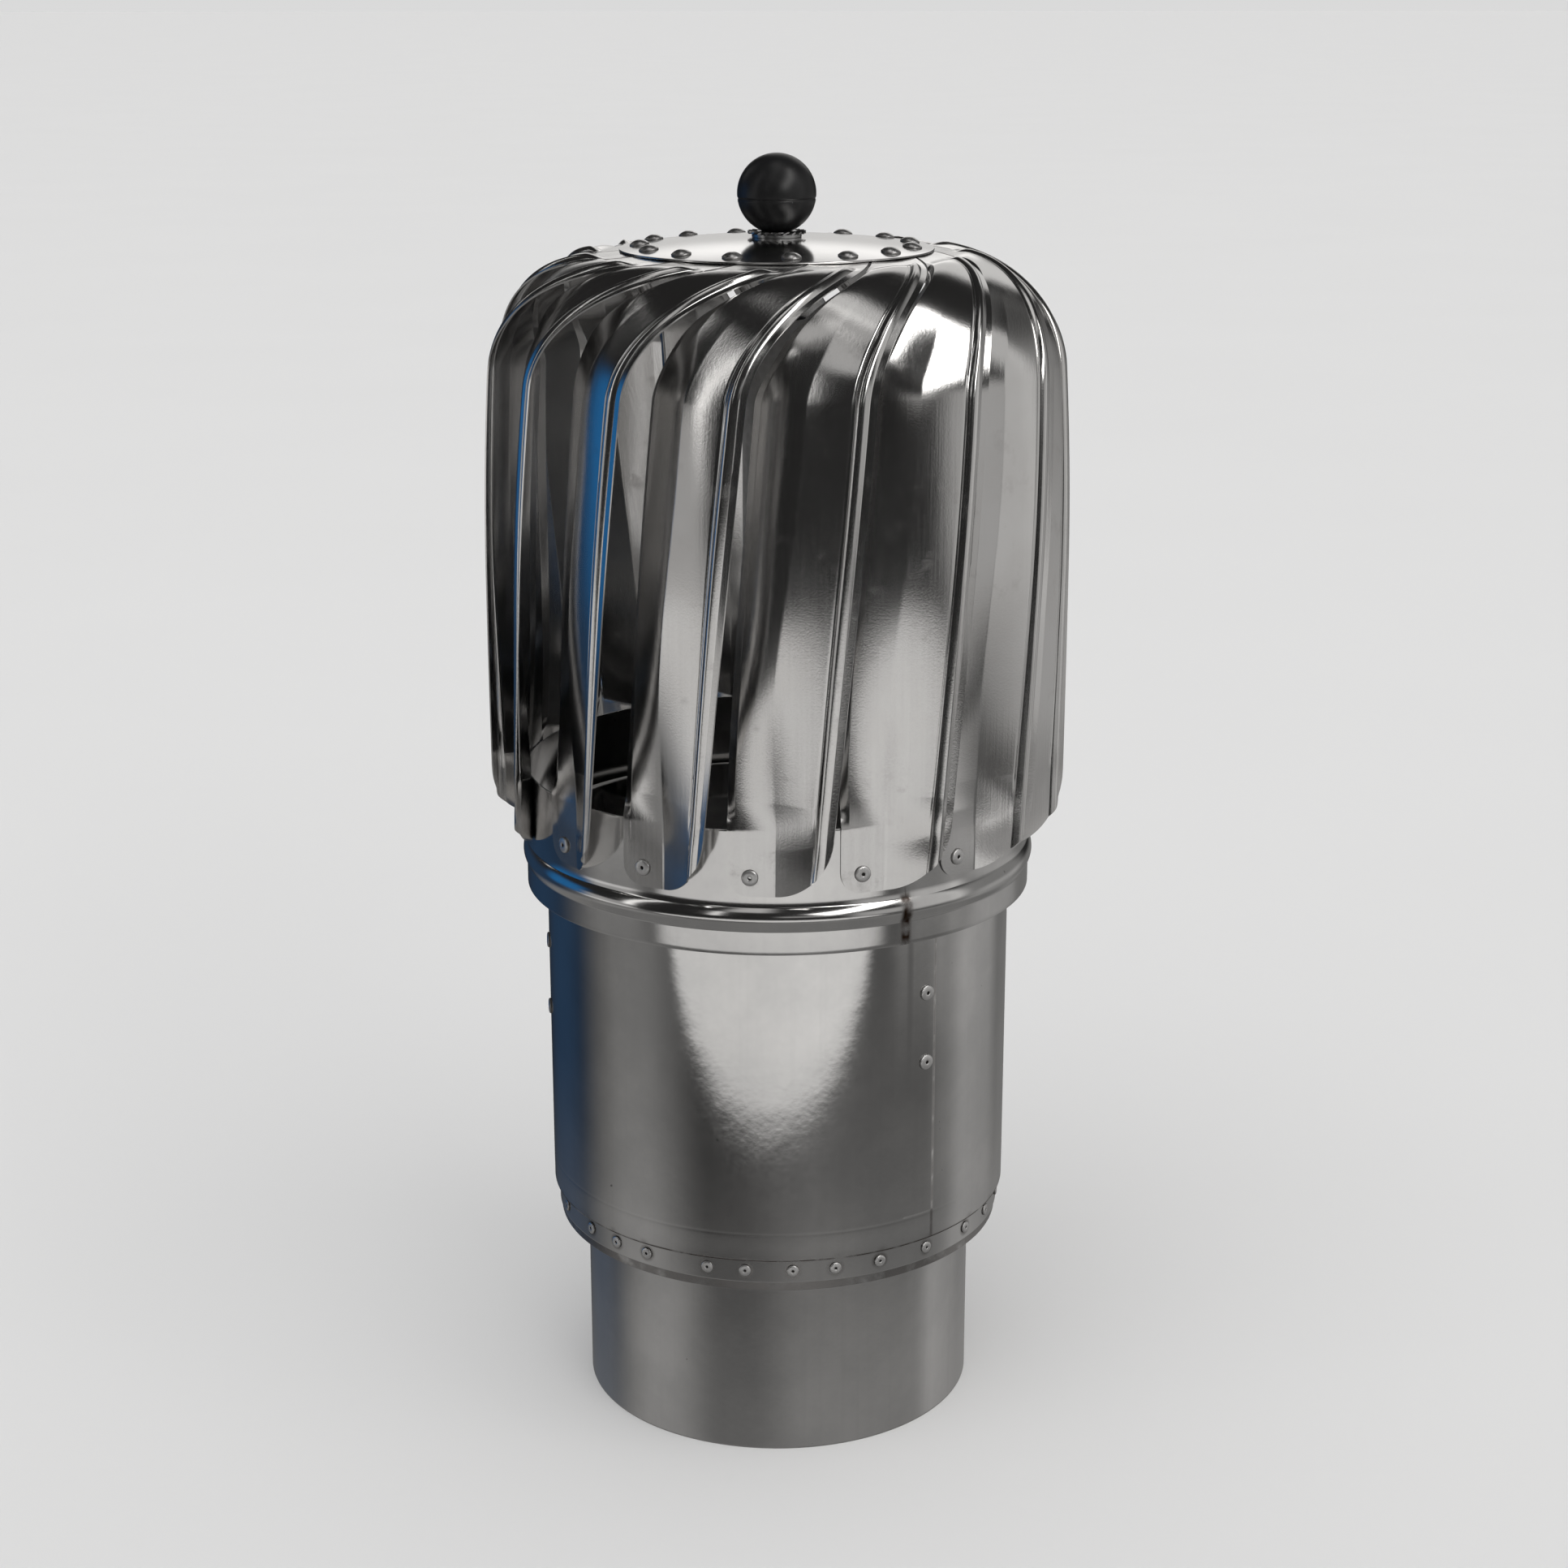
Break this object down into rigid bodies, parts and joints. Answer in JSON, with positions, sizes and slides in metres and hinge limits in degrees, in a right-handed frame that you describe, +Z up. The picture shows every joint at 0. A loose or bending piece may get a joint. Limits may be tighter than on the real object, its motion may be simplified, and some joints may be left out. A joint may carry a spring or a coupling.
{
  "type": "rotating ventilator cowl",
  "caption": "Wind-driven rotor of curved sheet vanes on a ball-bearing shaft above a stepped sheet-metal flue spigot, with a ball knob on top.",
  "frame": {"origin": "centre of the spigot's bottom rim, on the rotor's axis", "axes": "+Z up along the rotor's axis; -Y is the front"},
  "size_m": [0.2875, 0.2866, 0.6343],
  "materials": {
    "body_sheet": "satin rolled sheet",
    "vane_sheet": "bright polished sheet",
    "polished_disc": "mirror polished sheet",
    "rivet_aluminium": "bright aluminium",
    "knob_plastic": "black satin plastic",
    "zinc_hardware": "zinc plated",
    "bearing_steel": "ground bearing steel",
    "cage_brass": "brass strip",
    "spring_steel": "blackened spring steel",
    "frame_steel": "galvanised steel"
  },
  "bodies": {
    "base": {"spigot_tube": "body_sheet", "rivet_band": "body_sheet", "band_rivets": "rivet_aluminium", "outer_shell": "body_sheet", "arm_rivets": "rivet_aluminium", "bracket_arm_1": "frame_steel", "bracket_arm_2": "frame_steel", "bracket_arm_3": "frame_steel", "bearing_housing": "frame_steel", "housing_cap": "frame_steel", "lower_outer_race": "bearing_steel", "lower_circlip": "spring_steel", "upper_outer_race": "bearing_steel", "upper_circlip": "spring_steel"},
    "rotor": {"rotor_shaft": "frame_steel", "shaft_circlip": "spring_steel", "lower_inner_race": "bearing_steel", "upper_inner_race": "bearing_steel", "hub_plate": "frame_steel", "hub_spacer": "zinc_hardware", "top_disc": "polished_disc", "disc_rivets": "rivet_aluminium", "base_ring": "vane_sheet", "vane_rivets": "rivet_aluminium", "plain_washer": "zinc_hardware", "lock_washer": "zinc_hardware", "ball_knob": "knob_plastic", "vane_01": "vane_sheet", "vane_02": "vane_sheet", "vane_03": "vane_sheet", "vane_04": "vane_sheet", "vane_05": "vane_sheet", "vane_06": "vane_sheet", "vane_07": "vane_sheet", "vane_08": "vane_sheet", "vane_09": "vane_sheet", "vane_10": "vane_sheet", "vane_11": "vane_sheet", "vane_12": "vane_sheet", "vane_13": "vane_sheet", "vane_14": "vane_sheet", "vane_15": "vane_sheet"},
    "upper_ball_train": {"upper_balls": "bearing_steel", "upper_cage": "cage_brass"},
    "lower_ball_train": {"lower_balls": "bearing_steel", "lower_cage": "cage_brass"}
  },
  "joints": [
    {"name": "rotor_spin", "type": "hinge", "parent": "base", "child": "rotor", "pos_m": [0, 0, 0.4], "axis": [0, 0, 1], "continuous": true},
    {"name": "upper_ball_orbit", "type": "hinge", "parent": "base", "child": "upper_ball_train", "pos_m": [0, 0, 0.548], "axis": [0, 0, 1], "continuous": true},
    {"name": "lower_ball_orbit", "type": "hinge", "parent": "base", "child": "lower_ball_train", "pos_m": [0, 0, 0.198], "axis": [0, 0, 1], "continuous": true}
  ],
  "couplings": [
    {"joint": "upper_ball_orbit", "follows": "rotor_spin", "ratio": 0.381},
    {"joint": "lower_ball_orbit", "follows": "rotor_spin", "ratio": 0.381}
  ]
}
